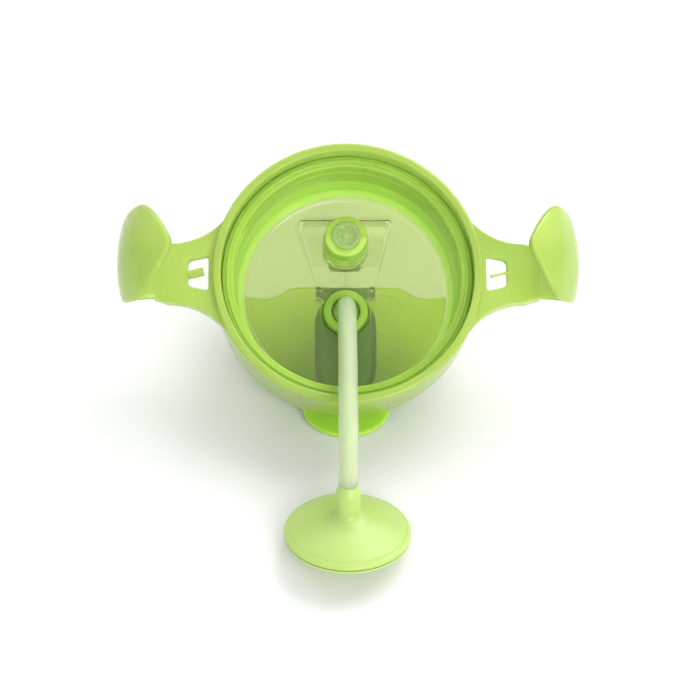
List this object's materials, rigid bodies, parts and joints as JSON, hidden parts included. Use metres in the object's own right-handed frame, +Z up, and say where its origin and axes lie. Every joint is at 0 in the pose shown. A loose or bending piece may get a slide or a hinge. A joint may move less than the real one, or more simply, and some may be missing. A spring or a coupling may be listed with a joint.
{
  "type": "trainer cup lid with handles and weighted straw",
  "caption": "Round translucent lid of a toddler's trainer cup, with a two-handled ring, a flip cover over a folding spout, and a soft drop straw with a round weight.",
  "frame": {"origin": "on the ground, under the middle of the lid assembly's box", "axes": "+Z up, +X along the line through both grips, -Y towards the weight on the end of the drop straw; the lid lies upside down on its cover's hood, its open side leaning 30 degrees towards -Y"},
  "size_m": [0.1354, 0.1311, 0.0723],
  "materials": {
    "handle_plastic": "satin translucent lime polypropylene",
    "lid_plastic": "satin translucent lime polypropylene",
    "cover_plastic": "satin translucent lime polypropylene",
    "mouthpiece_silicone": "milky clear silicone",
    "connector_plastic": "satin lime polypropylene",
    "valve_silicone": "translucent green silicone",
    "clear_silicone": "clear silicone tube",
    "weight_plastic": "opaque lime plastic",
    "weight_steel": "plain steel ring"
  },
  "bodies": {
    "lid": {"lid_shell": "lid_plastic", "handle_ring": "handle_plastic", "vent_valve": "valve_silicone"},
    "cover": {"flip_cover": "cover_plastic"},
    "mouthpiece": {"mouth_straw": "mouthpiece_silicone"},
    "connector": {"straw_connector": "connector_plastic"},
    "drop_straw": {"straw_tube": "clear_silicone", "weight_cap": "weight_plastic", "weight_base": "weight_plastic", "weight_slug": "weight_steel"}
  },
  "joints": [
    {"name": "cover_hinge", "type": "hinge", "parent": "lid", "child": "cover", "pos_m": [0, 0.01183, 0.01771], "axis": [1, 0, 0], "range_deg": [0, 85]},
    {"name": "mouthpiece_fold", "type": "hinge", "parent": "lid", "child": "mouthpiece", "pos_m": [0, 0.00676, 0.01247], "axis": [1, 0, 0], "range_deg": [0, 88]},
    {"name": "connector_swivel", "type": "hinge", "parent": "lid", "child": "connector", "pos_m": [0, 0.00106, 0.02235], "axis": [0, -0.5, 0.866], "range_deg": [-35, 35]},
    {"name": "straw_swing", "type": "hinge", "parent": "connector", "child": "drop_straw", "pos_m": [0, 0.00106, 0.02235], "axis": [-1, 0, 0], "range_deg": [0, 60]}
  ],
  "couplings": [
    {"joint": "mouthpiece_fold", "follows": "cover_hinge", "ratio": 1}
  ]
}
